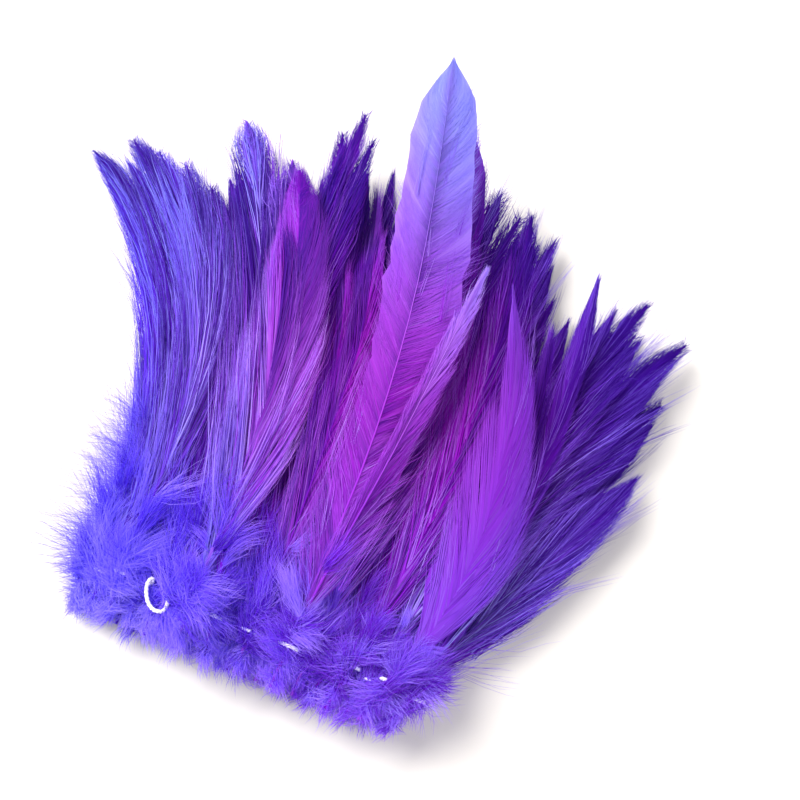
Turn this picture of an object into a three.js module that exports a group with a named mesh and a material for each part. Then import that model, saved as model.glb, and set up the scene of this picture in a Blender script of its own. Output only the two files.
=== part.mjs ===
// A strung hackle: dyed cock feathers sewn side by side along one thread, lying in a fan.
// Units are millimetres, +Z is up, and the bunch lies on the plane z = 0.
// Headings are degrees clockwise from +Y, seen from above.
import * as THREE from 'three';

// The string, seen from above, and the places along it where quills are sewn.
const STRING_START = new THREE.Vector2(-80, -43);
const STRING_END = new THREE.Vector2(4, -76);
const PLACE_COUNT = 18;

// One feather's measures.
const BUTT_LENGTH = 10.5;
const QUILL_WIDTH = 1.8;
const QUILL_THICKNESS = 1.3;
const QUILL_RISE = 0.3;
const LOWEST_QUILL_RISE = 1.7;
const QUILL_BARE_HALF_LENGTH = 2.2;
const EDGE_THICKNESS = 0.3;

// The sewing thread.
const THREAD_RADIUS = 0.5;
const THREAD_SIDES = 6;
const THREAD_CLEARANCE = 0.3;
const THREAD_LANE = 0.65;
const STITCH_HALF_SPAN = 1.2;
const THREAD_TAIL = 6;
const SLACK_PLACE = 4;

// The slack stitch: distance along the string, across it, and above the height of a usual pass.
const SLACK_STITCH = [
  [21.7, 1.5, 0.7], [21.2, 2.7, 0.9], [20, 2.3, 1], [19.9, 0.6, 1],
  [20.6, -1.3, 0.9], [22, -3.5, 0.9], [24, -4.9, 0.9], [26.3, -4.7, 1.6],
  [27.9, -3.5, 3], [27.7, -1.9, 4.3], [26.7, 0.1, 4.3], [25.8, 1.2, 2],
];

// How a feather lies on those below it.
const LAYER_GAP = 0.3;
const FOOTPRINT_MARGIN = 0.7;
const TIGHTEST_BEND = 1 / 40;
const STEEPEST_DROOP = 0.4;
const LIFT_START = 0.3;
const HANDLE_SHARE = 0.38;

// The middle feathers are turned by half a place, so that their tips fill the gaps of the fan.
const MIDDLE_TURN = 0.5;

// Stations from the butt to the tip: distance along the spine as millimetres from the string plus a
// share of the length, then width as a share of the feather's own and thickness. The bare quill has its own.
const STATIONS = [
  { from: -BUTT_LENGTH, share: 0, width: 0.2, thickness: 0.6 },
  { from: -7.4, share: 0, width: 0.46, thickness: 1 },
  { from: -4.6, share: 0, width: 0.34, thickness: 1 },
  { from: -QUILL_BARE_HALF_LENGTH, share: 0, width: 0, thickness: 0 },
  { from: QUILL_BARE_HALF_LENGTH, share: 0, width: 0, thickness: 0 },
  { from: 5.5, share: 0, width: 0.42, thickness: 1 },
  { from: 2, share: 0.14, width: 0.72, thickness: 1.1 },
  { from: 0, share: 0.3, width: 0.96, thickness: 1 },
  { from: 0, share: 0.46, width: 1, thickness: 1 },
  { from: 0, share: 0.62, width: 0.92, thickness: 0.9 },
  { from: 0, share: 0.78, width: 0.7, thickness: 0.9 },
  { from: 0, share: 0.91, width: 0.36, thickness: 0.8 },
  { from: 0, share: 1, width: 0, thickness: 0 },
];
const QUILL_STATIONS = [3, 4];

// Most tips are lances. A feather of full tip keeps its breadth for longer, up to these values of the
// last three stations; its fullness is 0 for a lance and 1 for these.
const FULL_TIP = [
  { index: 9, share: 0.64, width: 0.98 },
  { index: 10, share: 0.82, width: 0.88 },
  { index: 11, share: 0.95, width: 0.6 },
];
const USUAL_FULLNESS = 0.3;

// The fan of the lower layers, from its left end to its right: the tip of a feather, the heading in which
// it leaves the string and the one in which it ends.
const FAN = [
  { share: 0, tip: [-90, 80], leave: 24, arrive: -42 },
  { share: 0.1, tip: [-77, 82], leave: 24, arrive: -32 },
  { share: 0.22, tip: [-60, 72], leave: 21, arrive: -20 },
  { share: 0.27, tip: [-54, 65], leave: 20, arrive: -17 },
  { share: 0.33, tip: [-46, 88], leave: 19, arrive: -12 },
  { share: 0.44, tip: [-28, 74], leave: 20, arrive: -2 },
  { share: 0.54, tip: [-12, 86], leave: 18, arrive: 8 },
  { share: 0.64, tip: [9, 70], leave: 22, arrive: 10 },
  { share: 0.73, tip: [29, 62], leave: 26, arrive: 14 },
  { share: 0.82, tip: [44, 48], leave: 32, arrive: 20 },
  { share: 0.855, tip: [49, 28], leave: 34, arrive: 24 },
  { share: 0.89, tip: [64, 31], leave: 36, arrive: 32 },
  { share: 0.94, tip: [77, 16], leave: 40, arrive: 44 },
  { share: 0.97, tip: [70, -2], leave: 42, arrive: 46 },
  { share: 1, tip: [58, -25], leave: 44, arrive: 50 },
];

// The feathers that show on top, in the order they are laid down. The place is counted from the left.
const TOP_FEATHERS = [
  { name: 'left_edge', place: 0, tip: [-91, 79], leave: 24, arrive: -42, width: 12, lift: 2 },
  { name: 'left_second', place: 1, tip: [-78, 80], leave: 24, arrive: -32, width: 12, lift: 1 },
  { name: 'left_inner', place: 3, tip: [-69, 73], leave: 22, arrive: -26, width: 12, lift: 2 },
  { name: 'left_short', place: 4, tip: [-53, 61], leave: 20, arrive: -16, width: 13, lift: 1 },
  { name: 'left_low', place: 2, tip: [-61, 68], leave: 22, arrive: -22, width: 12, lift: 1 },
  { name: 'left_tall', place: 5, tip: [-46, 88], leave: 19, arrive: -16, width: 15, lift: 3, fullness: 0.8 },
  { name: 'lower_right', place: 17, tip: [61, -21], leave: 43, arrive: 46, width: 13, lift: 1 },
  { name: 'right_low_tip', place: 14, tip: [70, 0], leave: 41, arrive: 52, width: 13, lift: 2 },
  { name: 'right_far_tip', place: 16, tip: [78, 17], leave: 36, arrive: 52, width: 13, lift: 2 },
  { name: 'right_upper_tip', place: 15, tip: [66.6, 26], leave: 34, arrive: 42, width: 12, lift: 3 },
  { name: 'shoulder_low', place: 13, tip: [44, 50], leave: 30, arrive: 24, width: 13, lift: 2 },
  { name: 'shoulder_middle', place: 14, tip: [37, 56], leave: 32, arrive: 12, width: 12, lift: 2 },
  { name: 'shoulder_high', place: 10, tip: [29, 64], leave: 24, arrive: 22, width: 13, lift: 3 },
  { name: 'middle_short', place: 8, tip: [-17, 82], leave: 18, arrive: 4, width: 11, lift: 3 },
  { name: 'middle_tall', place: 7, tip: [-10, 84], leave: 12, arrive: 17, width: 12, lift: 4 },
  { name: 'magenta', place: 6, tip: [-27.6, 60.5], leave: 22, arrive: -3, width: 19, lift: 4, fullness: 0.8 },
  { name: 'middle_slim', place: 9, tip: [-7, 58], leave: 24, arrive: 3, width: 9, lift: 4 },
  { name: 'centre_under', place: 12, tip: [20, 77], leave: 25, arrive: 6, width: 15, lift: 8 },
  { name: 'centre', place: 11, tip: [13.7, 83.3], leave: 25, arrive: 8, width: 21, lift: 22, fullness: 1 },
  { name: 'right_slim', place: 17, tip: [51.5, 28.5], leave: 37, arrive: 17, width: 8, lift: 7 },
  { name: 'right_broad', place: 16, tip: [27, 17], leave: 43, arrive: -2, width: 20, lift: 20 },
];

const STRING_LENGTH = STRING_START.distanceTo(STRING_END);
const PLACE_PITCH = STRING_LENGTH / PLACE_COUNT;
const alongString = STRING_END.clone().sub(STRING_START).normalize();
const acrossString = new THREE.Vector2(-alongString.y, alongString.x);

// A point given by its distance along the string and across it, towards the tips.
function stringPoint(along, across) {
  return STRING_START.clone().addScaledVector(alongString, along).addScaledVector(acrossString, across);
}

function placeAlong(place) {
  return (place + 0.5) * PLACE_PITCH;
}

function headingVector(degrees) {
  const angle = THREE.MathUtils.degToRad(degrees);
  return new THREE.Vector2(Math.sin(angle), Math.cos(angle));
}

// A repeatable spread between -1 and 1 for a whole number.
function spread(number) {
  const wave = Math.sin(number * 12.9898 + 4.1) * 43758.5453;
  return 2 * (wave - Math.floor(wave)) - 1;
}

// The height of the pile so far, on a square grid round the bunch.
const GRID_CELL = 1;
const GRID_REACH = 130;
const GRID_SIZE = (2 * GRID_REACH) / GRID_CELL;
const pileHeight = new Float32Array(GRID_SIZE * GRID_SIZE);

function gridIndex(value) {
  return Math.round((value + GRID_REACH) / GRID_CELL);
}

function heightAt(x, y) {
  return pileHeight[gridIndex(y) * GRID_SIZE + gridIndex(x)];
}

function raiseAround(x, y, height) {
  const column = gridIndex(x);
  const row = gridIndex(y);
  for (let j = row - 1; j <= row + 1; j += 1) {
    for (let i = column - 1; i <= column + 1; i += 1) {
      const cell = j * GRID_SIZE + i;
      pileHeight[cell] = Math.max(pileHeight[cell], height);
    }
  }
}

// The spine seen from above: straight through the string, then one bend to the tip.
function makeSpine(feather) {
  const root = stringPoint(placeAlong(feather.place), 0);
  const tip = new THREE.Vector2(...feather.tip);
  const chord = tip.clone().sub(root);
  const handle = chord.length() * HANDLE_SHARE;
  const leaveVector = headingVector(feather.leave);
  const bend = new THREE.CubicBezierCurve(
    root,
    root.clone().addScaledVector(leaveVector, handle),
    tip.clone().addScaledVector(headingVector(feather.arrive), -handle),
    tip,
  );
  const length = bend.getLength();
  return { root, leaveVector, bend, length };
}

function makeStations(feather) {
  const spine = makeSpine(feather);
  const quillRise = feather.lowest ? LOWEST_QUILL_RISE : QUILL_RISE;
  const fullness = feather.fullness ?? USUAL_FULLNESS;
  return STATIONS.map((station, index) => {
    const full = FULL_TIP.find((row) => row.index === index) ?? station;
    const lengthShare = THREE.MathUtils.lerp(station.share, full.share, fullness);
    const widthShare = THREE.MathUtils.lerp(station.width, full.width, fullness);
    const distance = station.from + lengthShare * spine.length;
    const onBend = distance > 0;
    const share = Math.min(1, distance / spine.length);
    const tangent = onBend ? spine.bend.getTangentAt(share) : spine.leaveVector.clone();
    const centre = onBend
      ? spine.bend.getPointAt(share)
      : spine.root.clone().addScaledVector(spine.leaveVector, distance);
    const isQuill = QUILL_STATIONS.includes(index);
    const isTip = station.share === 1;
    const halfWidth = isQuill ? QUILL_WIDTH / 2 : (widthShare * feather.width) / 2;
    const thickness = isQuill ? QUILL_THICKNESS : station.thickness;
    return {
      centre,
      side: new THREE.Vector2(tangent.y, -tangent.x),
      halfWidth: isTip ? 0 : halfWidth,
      thickness,
      edgeThickness: isQuill ? thickness * 0.6 : EDGE_THICKNESS,
      rise: isQuill ? quillRise : 0,
      distance,
      share,
    };
  });
}

// Visits points of the strip between two stations; u runs from -1 (left edge) to 1 (right edge).
function visitStrip(near, far, uStart, uEnd, margin, visit) {
  const length = near.centre.distanceTo(far.centre);
  const widest = Math.max(near.halfWidth, far.halfWidth) + margin;
  const rows = Math.ceil(length / 0.6) + 1;
  const columns = Math.ceil((widest * (uEnd - uStart)) / 0.6) + 1;
  for (let row = 0; row <= rows; row += 1) {
    const v = row / rows;
    const centre = near.centre.clone().lerp(far.centre, v);
    const side = near.side.clone().lerp(far.side, v).normalize();
    const halfWidth = THREE.MathUtils.lerp(near.halfWidth, far.halfWidth, v) + margin;
    for (let column = 0; column <= columns; column += 1) {
      const u = THREE.MathUtils.lerp(uStart, uEnd, column / columns);
      visit(centre.x + side.x * halfWidth * u, centre.y + side.y * halfWidth * u, u, v);
    }
  }
}

function highestInStrip(near, far, uStart, uEnd) {
  let highest = 0;
  visitStrip(near, far, uStart, uEnd, FOOTPRINT_MARGIN, (x, y) => {
    highest = Math.max(highest, heightAt(x, y));
  });
  return highest;
}

// Rest heights of one side at each station: over everything that lies under the strips beside it.
function restHeights(stations, uStart, uEnd) {
  const strips = stations.slice(1).map((far, i) => highestInStrip(stations[i], far, uStart, uEnd));
  return stations.map((station, i) => {
    const below = Math.max(strips[Math.max(0, i - 1)], strips[Math.min(strips.length - 1, i)]);
    return below > 0 ? below + LAYER_GAP : 0;
  });
}

// A quill is stiff: it spans a hollow instead of following it closely.
function stiffen(heights, stations) {
  for (let pass = 0; pass < 30; pass += 1) {
    for (let i = 1; i < heights.length - 1; i += 1) {
      const before = stations[i].distance - stations[i - 1].distance;
      const after = stations[i + 1].distance - stations[i].distance;
      const straight = (heights[i - 1] * after + heights[i + 1] * before) / (before + after);
      const sag = (TIGHTEST_BEND * before * after) / 2;
      heights[i] = Math.max(heights[i], straight - sag);
    }
  }
  const tip = heights.length - 1;
  const last = stations[tip].distance - stations[tip - 1].distance;
  const previous = stations[tip - 1].distance - stations[tip - 2].distance;
  const onward = heights[tip - 1] + ((heights[tip - 1] - heights[tip - 2]) * last) / previous;
  heights[tip] = Math.max(heights[tip], onward - (TIGHTEST_BEND * last * last) / 2);
}

// Sets the underside's height at the left edge, the middle and the right edge of each station.
function layDown(stations, lift) {
  const left = restHeights(stations, -1, 0);
  const right = restHeights(stations, 0, 1);
  const middle = left.map((height, i) => Math.max(height, right[i]));
  stiffen(middle, stations);
  stations.forEach((station, i) => {
    const lowest = middle[i] - station.halfWidth * STEEPEST_DROOP;
    const raised = Math.max(0, (station.share - LIFT_START) / (1 - LIFT_START)) ** 2 * lift;
    station.left = Math.max(left[i], lowest) + station.rise + raised;
    station.right = Math.max(right[i], lowest) + station.rise + raised;
    station.middle = middle[i] + station.rise + raised;
  });
}

function addToPile(stations) {
  stations.slice(1).forEach((far, i) => {
    const near = stations[i];
    visitStrip(near, far, -1, 1, 0, (x, y, u, v) => {
      const middle = THREE.MathUtils.lerp(near.middle + near.thickness, far.middle + far.thickness, v);
      const edgeNear = (u < 0 ? near.left : near.right) + near.edgeThickness;
      const edgeFar = (u < 0 ? far.left : far.right) + far.edgeThickness;
      const edge = THREE.MathUtils.lerp(edgeNear, edgeFar, v);
      raiseAround(x, y, THREE.MathUtils.lerp(middle, edge, Math.abs(u)));
    });
  });
}

// A ring has six points: left edge, ridge and right edge on top, and the same three below.
function ringPoints(station) {
  const { centre, side, halfWidth, left, middle, right, thickness, edgeThickness } = station;
  const leftPoint = centre.clone().addScaledVector(side, -halfWidth);
  const rightPoint = centre.clone().addScaledVector(side, halfWidth);
  return [
    [leftPoint.x, leftPoint.y, left + edgeThickness],
    [centre.x, centre.y, middle + thickness],
    [rightPoint.x, rightPoint.y, right + edgeThickness],
    [rightPoint.x, rightPoint.y, right],
    [centre.x, centre.y, middle],
    [leftPoint.x, leftPoint.y, left],
  ];
}

// Skins a run of rings of equal size. An end point closes an end to a tip, and null closes it flat.
function skinRings(rings, endPoint) {
  const sides = rings[0].length;
  const positions = rings.flat();
  const faces = [];
  for (let ring = 0; ring < rings.length - 1; ring += 1) {
    for (let side = 0; side < sides; side += 1) {
      const a = ring * sides + side;
      const b = ring * sides + ((side + 1) % sides);
      faces.push(a, b, a + sides, b, b + sides, a + sides);
    }
  }
  for (let side = 1; side < sides - 1; side += 1) {
    faces.push(0, side + 1, side);
  }
  const last = (rings.length - 1) * sides;
  if (endPoint === null) {
    for (let side = 1; side < sides - 1; side += 1) {
      faces.push(last, last + side, last + side + 1);
    }
  } else {
    positions.push(endPoint);
    for (let side = 0; side < sides; side += 1) {
      faces.push(last + side, last + ((side + 1) % sides), positions.length - 1);
    }
  }
  const geometry = new THREE.BufferGeometry();
  geometry.setAttribute('position', new THREE.Float32BufferAttribute(positions.flat(), 3));
  geometry.setIndex(faces);
  geometry.computeVertexNormals();
  return geometry;
}

function featherGeometry(stations) {
  const tip = stations[stations.length - 1];
  const rings = stations.slice(0, -1).map(ringPoints);
  return skinRings(rings, [tip.centre.x, tip.centre.y, tip.middle]);
}

// The dye runs from blue-violet at the left through magenta to deep violet at the right.
const DYE = [
  [-90, new THREE.Color('#5f42cc')],
  [-45, new THREE.Color('#7a3fd8')],
  [-10, new THREE.Color('#9a3be2')],
  [25, new THREE.Color('#7a2cc4')],
  [75, new THREE.Color('#4b1f96')],
];

function dyeAt(x) {
  const last = DYE.length - 1;
  const next = DYE.findIndex(([edge]) => x < edge);
  if (next === 0) {
    return DYE[0][1].clone();
  }
  if (next === -1) {
    return DYE[last][1].clone();
  }
  const [startX, start] = DYE[next - 1];
  const [endX, end] = DYE[next];
  return start.clone().lerp(end, (x - startX) / (endX - startX));
}

// A feather of the fan, between the two nearest rows of the list, drawn in by a share of its length.
// It may be turned towards the next places, so that its tip shows between those of another layer.
function fanFeather(name, place, turned, drawnIn, width) {
  const share = Math.min(1, (place + turned) / (PLACE_COUNT - 1));
  const next = Math.max(1, FAN.findIndex((row) => share <= row.share));
  const start = FAN[next - 1];
  const end = FAN[next];
  const mix = (share - start.share) / (end.share - start.share);
  const outline = new THREE.Vector2(...start.tip).lerp(new THREE.Vector2(...end.tip), mix);
  const tip = outline.lerp(stringPoint(placeAlong(place), 0), drawnIn);
  const leave = THREE.MathUtils.lerp(start.leave, end.leave, mix);
  const arrive = THREE.MathUtils.lerp(start.arrive, end.arrive, mix);
  return { name, place, tip: [tip.x, tip.y], leave, arrive, width, lift: 0 };
}

// The lowest feathers lie clear of each other on the surface, one at every second place.
function bottomFeathers() {
  const feathers = [];
  for (let place = 0; place < PLACE_COUNT; place += 2) {
    const number = String(place / 2 + 1).padStart(2, '0');
    const feather = fanFeather(`bottom_feather_${number}`, place, 0, 0.03 + 0.03 * spread(place), 11);
    feathers.push({ ...feather, lowest: true });
  }
  return feathers;
}

// The next ones fill the places between, every fourth place first so that neighbours share a layer.
function lowerFeathers() {
  const feathers = [];
  for (const first of [1, 3]) {
    for (let place = first; place < PLACE_COUNT; place += 4) {
      const number = String((place + 1) / 2).padStart(2, '0');
      feathers.push(fanFeather(`lower_feather_${number}`, place, 0, 0.03 + 0.04 * spread(place), 14));
    }
  }
  return feathers;
}

// A full set of middle feathers lies over them, every third place in each layer.
function middleFeathers() {
  const feathers = [];
  for (const first of [0, 1, 2]) {
    for (let place = first; place < PLACE_COUNT; place += 3) {
      const number = String(place + 1).padStart(2, '0');
      const drawnIn = 0.07 + 0.06 * spread(place + 40);
      feathers.push(fanFeather(`middle_feather_${number}`, place, MIDDLE_TURN, drawnIn, 14 + spread(place)));
    }
  }
  return feathers;
}

const quillsByPlace = Array.from({ length: PLACE_COUNT }, () => []);

function featherMesh(feather) {
  const stations = makeStations(feather);
  layDown(stations, feather.lift);
  addToPile(stations);
  for (const index of QUILL_STATIONS) {
    const { middle, thickness } = stations[index];
    quillsByPlace[feather.place].push({ bottom: middle, top: middle + thickness });
  }
  const material = new THREE.MeshStandardMaterial({
    color: dyeAt(stations[8].centre.x),
    roughness: 0.5,
    metalness: 0,
    flatShading: true,
  });
  const mesh = new THREE.Mesh(featherGeometry(stations), material);
  mesh.name = feather.name;
  return mesh;
}

// Heights at which the thread passes over and under the quills sewn at one place.
function passHeights(place) {
  const reach = THREAD_RADIUS + THREAD_CLEARANCE;
  const quills = quillsByPlace[place];
  const over = Math.max(...quills.map((quill) => quill.top)) + reach;
  const under = Math.min(...quills.map((quill) => quill.bottom)) - reach;
  return { over: over + 0.2, under };
}

function threadPoint(along, lane, height) {
  const point = stringPoint(along, lane);
  return new THREE.Vector3(point.x, point.y, height);
}

// One pass of the thread from left to right in its own lane, over every second place.
function threadPass(lane, overFirst) {
  const points = [];
  for (let place = 0; place < PLACE_COUNT; place += 1) {
    const isOver = (place % 2 === 0) === overFirst;
    const { over, under } = passHeights(place);
    const height = isOver ? over : under;
    const turn = isOver ? height - 1 : height + 0.6;
    const middle = placeAlong(place);
    const gapBefore = place * PLACE_PITCH;
    const gapAfter = gapBefore + PLACE_PITCH;
    points.push(threadPoint(gapBefore, lane, turn));
    if (place === SLACK_PLACE && isOver) {
      for (const [along, across, rise] of SLACK_STITCH) {
        points.push(slackPoint(along, across, height + rise));
      }
    } else {
      points.push(threadPoint(middle - STITCH_HALF_SPAN, lane, height));
      points.push(threadPoint(middle + STITCH_HALF_SPAN, lane, height));
    }
    points.push(threadPoint(gapAfter, lane, turn));
  }
  return points;
}

// The slack stitch lies on top of whatever is below it.
function slackPoint(along, across, height) {
  const point = stringPoint(along, across);
  const reach = THREAD_RADIUS + THREAD_CLEARANCE;
  let highest = 0;
  for (let dx = -2; dx <= 2; dx += 1) {
    for (let dy = -2; dy <= 2; dy += 1) {
      highest = Math.max(highest, heightAt(point.x + dx, point.y + dy));
    }
  }
  return new THREE.Vector3(point.x, point.y, Math.max(height, highest + reach));
}

// Sweeps a round section along a bent line, with each bend mitred.
function sweptThread(points) {
  const rings = [];
  const across = new THREE.Vector3(acrossString.x, acrossString.y, 0);
  points.forEach((point, i) => {
    const before = point.clone().sub(points[Math.max(0, i - 1)]).normalize();
    const after = points[Math.min(points.length - 1, i + 1)].clone().sub(point).normalize();
    const incoming = i === 0 ? after : before;
    const outgoing = i === points.length - 1 ? before : after;
    const facing = incoming.clone().add(outgoing).normalize();
    const sideways = new THREE.Vector3().crossVectors(incoming, across).normalize();
    const upward = new THREE.Vector3().crossVectors(incoming, sideways).normalize();
    const ring = [];
    for (let side = 0; side < THREAD_SIDES; side += 1) {
      const angle = (2 * Math.PI * side) / THREAD_SIDES;
      const offset = sideways.clone().multiplyScalar(Math.cos(angle) * THREAD_RADIUS);
      offset.addScaledVector(upward, Math.sin(angle) * THREAD_RADIUS);
      const slide = -offset.dot(facing) / incoming.dot(facing);
      offset.addScaledVector(incoming, slide);
      ring.push(point.clone().add(offset).toArray());
    }
    rings.push(ring);
  });
  return skinRings(rings, null);
}

function threadMesh() {
  const front = threadPass(THREAD_LANE, true);
  const back = threadPass(-THREAD_LANE, false).reverse();
  const start = front[0];
  const end = back[back.length - 1];
  const tailStart = threadPoint(-THREAD_TAIL, THREAD_LANE, start.z);
  const tailEnd = threadPoint(-THREAD_TAIL, -THREAD_LANE, end.z);
  const around = STRING_LENGTH + 1.5;
  const turn = [
    threadPoint(around, THREAD_LANE, front[front.length - 1].z),
    threadPoint(around, -THREAD_LANE, back[0].z),
  ];
  const geometry = sweptThread([tailStart, ...front, ...turn, ...back, tailEnd]);
  const material = new THREE.MeshStandardMaterial({ color: '#d9d3e6', roughness: 0.85, metalness: 0 });
  const mesh = new THREE.Mesh(geometry, material);
  mesh.name = 'sewing_thread';
  return mesh;
}

const bunch = new THREE.Group();
bunch.name = 'strung_hackle';
const topFeathers = TOP_FEATHERS.map((feather) => ({ ...feather, name: `top_feather_${feather.name}` }));
for (const feather of [...bottomFeathers(), ...lowerFeathers(), ...middleFeathers(), ...topFeathers]) {
  bunch.add(featherMesh(feather));
}
bunch.add(threadMesh());

// The origin is under the middle of the bunch, on the surface it lies on.
const box = new THREE.Box3().setFromObject(bunch);
bunch.position.set(-(box.min.x + box.max.x) / 2, -(box.min.y + box.max.y) / 2, -box.min.z);

export default bunch;
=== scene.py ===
# %% [markdown]
# A strung hackle is a bunch of dyed cock feathers, sewn side by side through their quills.
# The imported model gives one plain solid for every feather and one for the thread. This scene
# keeps each solid's place, length and bend, and dresses it with real barbs, down and a quill.

import math

import bmesh
import bpy
import numpy as np
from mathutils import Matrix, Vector


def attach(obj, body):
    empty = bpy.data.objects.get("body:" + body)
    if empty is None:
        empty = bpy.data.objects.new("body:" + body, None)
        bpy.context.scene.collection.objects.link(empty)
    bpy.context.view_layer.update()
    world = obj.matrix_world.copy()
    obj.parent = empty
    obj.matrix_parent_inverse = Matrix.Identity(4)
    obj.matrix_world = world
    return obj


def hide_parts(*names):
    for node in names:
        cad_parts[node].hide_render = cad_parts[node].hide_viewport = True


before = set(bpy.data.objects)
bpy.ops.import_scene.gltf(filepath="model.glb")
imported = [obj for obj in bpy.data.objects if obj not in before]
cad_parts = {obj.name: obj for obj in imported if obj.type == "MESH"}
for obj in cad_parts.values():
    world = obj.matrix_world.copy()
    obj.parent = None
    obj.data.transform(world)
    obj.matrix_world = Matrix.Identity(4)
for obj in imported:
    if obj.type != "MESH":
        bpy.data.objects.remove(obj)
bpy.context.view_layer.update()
MM = 0.001
print("nodes in the frame:", len(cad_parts))

# %% [markdown]
# Colours are written as sRGB hex, the way a paint chart or an image editor gives them. Blender's
# shaders work in linear light, so one function turns a hex value into the numbers they need.
# Another adds a node with its settings, values and links, so that a material reads as a recipe.

# %% Colour and node helpers
def linear(hex_code):
    """The sRGB curve is a straight line near black and a power above it."""
    channels = [int(hex_code[i:i + 2], 16) / 255 for i in (1, 3, 5)]
    return [c / 12.92 if c <= 0.04045 else ((c + 0.055) / 1.055) ** 2.4 for c in channels] + [1.0]


def add_node(tree, kind, settings=None, inputs=None, links=None):
    node = tree.nodes.new(kind)
    for name, value in (settings or {}).items():
        setattr(node, name, value)
    for name, value in (inputs or {}).items():
        node.inputs[name].default_value = value
    for name, source in (links or {}).items():
        tree.links.new(source, node.inputs[name])
    return node


def new_material(name):
    material = bpy.data.materials.new(name)
    material.use_nodes = True
    material.node_tree.nodes.clear()
    return material, material.node_tree


print("the grey #808080 in linear light:", round(linear("#808080")[0], 3))

# %% [markdown]
# The picture is taken from above the near edge of the bunch, at about seventy degrees. The camera
# stands at the distance that makes the frame 213 mm wide where the feathers lie.

# %% Camera
CAMERA_TARGET = Vector((6.0, -1.6, 8.0)) * MM
CAMERA_ELEVATION = math.radians(70)
CAMERA_DISTANCE = 266 * MM
LENS, SENSOR = 45, 36


def add_object(name, data):
    made = bpy.data.objects.new(name, data)
    bpy.context.scene.collection.objects.link(made)
    return made


camera_data = bpy.data.cameras.new("camera")
camera_data.lens = LENS
camera_data.sensor_width = SENSOR
camera_data.clip_start = 10 * MM
camera = add_object("camera", camera_data)
camera_direction = Vector((0, -math.cos(CAMERA_ELEVATION), math.sin(CAMERA_ELEVATION)))
camera.location = CAMERA_TARGET + camera_direction * CAMERA_DISTANCE
camera.rotation_euler = camera_direction.to_track_quat("Z", "Y").to_euler()
bpy.context.scene.camera = camera
print("the frame is", round(CAMERA_DISTANCE / MM * SENSOR / LENS), "mm wide at the feathers")

# %% [markdown]
# Every feather solid in the frame is a row of cross-sections: three places across, each with a
# point above and a point below, and one point at the tip. The solid comes as loose triangles. The
# middle place of a section lies half way between the other two, and that finds the sections again.

# %% Read a feather's sections
HALF_WAY_MM = 0.02  # how far off the true half way point a middle place may lie


def find_middles(plan, tip):
    """Each place that lies half way between two others, with those two."""
    middles = {}
    for a in range(len(plan)):
        for b in range(a + 1, len(plan)):
            if tip in (a, b):
                continue
            gap = np.hypot(*(plan - (plan[a] + plan[b]) / 2).T)
            middle = int(np.argmin(gap))
            if gap[middle] < HALF_WAY_MM:
                middles[middle] = (a, b)
    return middles


four = np.array([(0, 0), (1, 0), (2, 0), (5, 5)])
print("half way between two others:", find_middles(four, tip=3))

# %% Put the sections in order
def read_sections(node):
    """Rows from butt to tip: left, middle and right place, each as x, y, low and high."""
    coords = np.array([v.co for v in node.data.vertices])
    plan, index = np.unique(np.round(coords[:, :2] / MM, 2), axis=0, return_inverse=True)
    index = index.ravel()
    low = np.array([coords[index == i, 2].min() for i in range(len(plan))])
    high = np.array([coords[index == i, 2].max() for i in range(len(plan))])
    tip = int(np.argmin(high - low))
    middles = find_middles(plan, tip)
    left_over = set(middles)
    rows, here = [], plan[tip]
    while left_over:
        middle = min(left_over, key=lambda i: np.hypot(*(plan[i] - here)))
        a, b = middles[middle]
        forward, aside = here - plan[middle], plan[a] - plan[middle]
        left, right = (a, b) if forward[0] * aside[1] - forward[1] * aside[0] > 0 else (b, a)
        rows.append([(*(plan[i] * MM), low[i], high[i]) for i in (left, middle, right)])
        here = plan[middle]
        left_over.remove(middle)
    tip_point = (*(plan[tip] * MM), low[tip], high[tip])
    return np.array(rows[::-1] + [[tip_point] * 3])


sections = {name: read_sections(node) for name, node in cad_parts.items() if "feather" in name}
print("feathers:", len(sections), "rows in each:", {len(rows) for rows in sections.values()})

# %% [markdown]
# A feather's line is smooth, so the sections are joined by a curve through their centres. Dense
# samples of that curve then answer where the vane is, how wide and how high, at any distance.

# %% Smooth a row of numbers
def unit(vectors):
    return vectors / np.linalg.norm(vectors, axis=-1)[..., None]


def smooth_rows(rows, stations, at):
    """A cubic curve through rows of numbers, smooth at each row, with a station for each row."""
    slope = np.gradient(rows, stations, axis=0)
    i = np.clip(np.searchsorted(stations, at) - 1, 0, len(stations) - 2)
    step = (stations[i + 1] - stations[i])[:, None]
    t = ((at - stations[i]) / step[:, 0])[:, None]
    return ((2 * t**3 - 3 * t**2 + 1) * rows[i] + (t**3 - 2 * t**2 + t) * step * slope[i]
            + (3 * t**2 - 2 * t**3) * rows[i + 1] + (t**3 - t**2) * step * slope[i + 1])


bent = smooth_rows(np.array([[0.0], [1.0], [0.0]]), np.arange(3.0), np.array([0.5, 1.0, 1.5]))
print("a smooth hump at 0.5, 1 and 1.5:", bent.ravel())

# %% Smooth a feather's line
SAMPLES = 240
BEFORE_STRING = 3  # the string passes half way between this section and the next
HALF_WIDTH = 4  # a row holds x, y, z, thickness, half width, and how far each edge falls


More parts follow.
